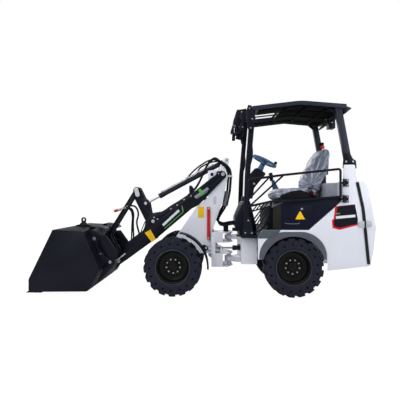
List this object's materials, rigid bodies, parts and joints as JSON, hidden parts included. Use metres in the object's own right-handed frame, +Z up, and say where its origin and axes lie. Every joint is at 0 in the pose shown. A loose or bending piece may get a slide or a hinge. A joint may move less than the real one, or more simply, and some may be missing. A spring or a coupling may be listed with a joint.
{
  "type": "electric wheel loader",
  "caption": "Compact articulated electric wheel loader with a lifting boom, tilting bucket, driver's seat under a canopy, side gate and rear hood.",
  "frame": {"origin": "on the ground under the middle of the machine's overall box", "axes": "+X forward to the bucket, +Y to the driver's left, +Z up"},
  "size_m": [4.13, 1.3, 2.2896],
  "materials": {
    "white_paint": "satin",
    "black_paint": "satin",
    "black_plastic": "matte",
    "battery_case": "matte",
    "grey_plastic": "matte",
    "blue_plastic": "gloss",
    "seat_fabric": "matte",
    "red_paint": "gloss",
    "hose_rubber": "matte",
    "tyre": "matte",
    "rim_paint": "satin",
    "rod_chrome": "polished"
  },
  "bodies": {
    "rear_frame": {"rear_chassis": "white_paint", "rear_axle": "black_paint", "body_side_left": "white_paint", "body_side_right": "white_paint", "arch_liner_left": "grey_plastic", "arch_liner_right": "grey_plastic", "rear_body": "white_paint", "rear_tank": "grey_plastic", "seat_base": "black_plastic", "battery_pack": "battery_case", "floor_plate": "black_paint", "front_console": "black_plastic", "steering_column": "black_paint", "steering_wheel": "blue_plastic", "joystick_console": "black_paint", "seat_mount": "black_paint", "seat_cushion": "seat_fabric", "seat_back": "seat_fabric", "canopy_post_front_left": "black_paint", "canopy_post_front_right": "black_paint", "canopy_post_rear_left": "black_paint", "canopy_post_rear_right": "black_paint", "roof": "black_paint", "work_lamp_left": "black_paint", "work_lamp_right": "black_paint", "rear_lamp": "black_paint", "foot_guard": "black_paint", "gate_hinges": "black_paint", "hose_bundle_rear": "hose_rubber"},
    "front_frame": {"front_frame": "white_paint", "front_axle": "black_paint", "mudguard_left": "black_plastic", "mudguard_right": "black_plastic", "safety_strut": "red_paint", "hose_bundle_front": "hose_rubber"},
    "wheel_front_left": {"tyre_front_left": "tyre", "rim_front_left": "rim_paint"},
    "wheel_front_right": {"tyre_front_right": "tyre", "rim_front_right": "rim_paint"},
    "wheel_rear_left": {"tyre_rear_left": "tyre", "rim_rear_left": "rim_paint"},
    "wheel_rear_right": {"tyre_rear_right": "tyre", "rim_rear_right": "rim_paint"},
    "boom": {"boom": "black_paint"},
    "tilt_lever": {"tilt_lever": "black_paint"},
    "tilt_link": {"tilt_link": "black_paint"},
    "coupler": {"coupler": "black_paint", "bucket": "black_paint"},
    "tilt_barrel": {"tilt_barrel": "black_paint"},
    "tilt_rod": {"tilt_rod": "rod_chrome"},
    "lift_barrel": {"lift_barrel": "black_paint"},
    "lift_rod": {"lift_rod": "rod_chrome"},
    "steering_barrel": {"steering_barrel": "black_paint"},
    "steering_rod": {"steering_rod": "rod_chrome"},
    "side_gate": {"side_gate": "black_paint"},
    "rear_hood": {"rear_hood": "white_paint"}
  },
  "joints": [
    {"name": "spin_front_left", "type": "hinge", "parent": "front_frame", "child": "wheel_front_left", "pos_m": [0.352, 0.502, 0.345], "axis": [0, 1, 0], "continuous": true},
    {"name": "spin_front_right", "type": "hinge", "parent": "front_frame", "child": "wheel_front_right", "pos_m": [0.352, -0.502, 0.345], "axis": [0, 1, 0], "continuous": true},
    {"name": "spin_rear_left", "type": "hinge", "parent": "rear_frame", "child": "wheel_rear_left", "pos_m": [-1.055, 0.502, 0.345], "axis": [0, 1, 0], "continuous": true},
    {"name": "spin_rear_right", "type": "hinge", "parent": "rear_frame", "child": "wheel_rear_right", "pos_m": [-1.055, -0.502, 0.345], "axis": [0, 1, 0], "continuous": true},
    {"name": "articulation", "type": "hinge", "parent": "rear_frame", "child": "front_frame", "pos_m": [-0.33, 0, 0.5], "axis": [0, 0, 1], "range_deg": [-38, 38]},
    {"name": "boom_lift", "type": "hinge", "parent": "front_frame", "child": "boom", "pos_m": [-0.248, 0, 1.463], "axis": [0, -1, 0], "range_deg": [-1.2, 66]},
    {"name": "bucket_tilt", "type": "hinge", "parent": "boom", "child": "coupler", "pos_m": [1.104, 0, 0.341], "axis": [0, 1, 0], "range_deg": [-38, 90]},
    {"name": "tilt_lever_swing", "type": "hinge", "parent": "boom", "child": "tilt_lever", "pos_m": [0.655, 0, 0.856], "axis": [0, 1, 0], "range_deg": [-28.78, 66.87]},
    {"name": "tilt_link_swing", "type": "hinge", "parent": "tilt_lever", "child": "tilt_link", "pos_m": [0.885, 0, 1.263], "axis": [0, 1, 0], "range_deg": [-64.7, 27.84]},
    {"name": "tilt_barrel_swing", "type": "hinge", "parent": "front_frame", "child": "tilt_barrel", "pos_m": [-0.3, 0, 1.655], "axis": [0, -1, 0], "range_deg": [-1.79, 63.67]},
    {"name": "tilt_rod_slide", "type": "slide", "parent": "tilt_barrel", "child": "tilt_rod", "axis": [0.8824, 0, -0.4706], "range_m": [-0.10434, 0.24556]},
    {"name": "lift_barrel_swing", "type": "hinge", "parent": "front_frame", "child": "lift_barrel", "pos_m": [-0.118, 0, 0.563], "axis": [0, -1, 0], "range_deg": [-4, 0.11]},
    {"name": "lift_rod_slide", "type": "slide", "parent": "lift_barrel", "child": "lift_rod", "axis": [0.1669, 0, 0.986], "range_m": [-0.00811, 0.37827]},
    {"name": "steering_barrel_swing", "type": "hinge", "parent": "rear_frame", "child": "steering_barrel", "pos_m": [-0.64, 0.12, 0.52], "axis": [0, 0, 1], "range_deg": [-11.07, 11.07]},
    {"name": "steering_rod_slide", "type": "slide", "parent": "steering_barrel", "child": "steering_rod", "axis": [0.993, 0.1182, 0], "range_m": [-0.10118, 0.10118]},
    {"name": "side_gate_hinge", "type": "hinge", "parent": "rear_frame", "child": "side_gate", "pos_m": [-1.618, 0.612, 1.2], "axis": [0, 0, 1], "range_deg": [0, 95]},
    {"name": "rear_hood_hinge", "type": "hinge", "parent": "rear_frame", "child": "rear_hood", "pos_m": [-1.784, 0, 1.359], "axis": [0, 1, 0], "range_deg": [0, 60]}
  ],
  "couplings": [
    {"joint": "tilt_lever_swing", "follows": "bucket_tilt", "ratio": 0.7326},
    {"joint": "tilt_link_swing", "follows": "bucket_tilt", "ratio": -0.7088},
    {"joint": "tilt_rod_slide", "follows": "bucket_tilt", "m_per_rad": 0.1556},
    {"joint": "tilt_barrel_swing", "follows": "boom_lift", "ratio": 0.955},
    {"joint": "lift_barrel_swing", "follows": "boom_lift", "ratio": -0.06},
    {"joint": "lift_rod_slide", "follows": "boom_lift", "m_per_rad": 0.3273},
    {"joint": "steering_barrel_swing", "follows": "articulation", "ratio": 0.2855},
    {"joint": "steering_rod_slide", "follows": "articulation", "m_per_rad": -0.1515}
  ]
}
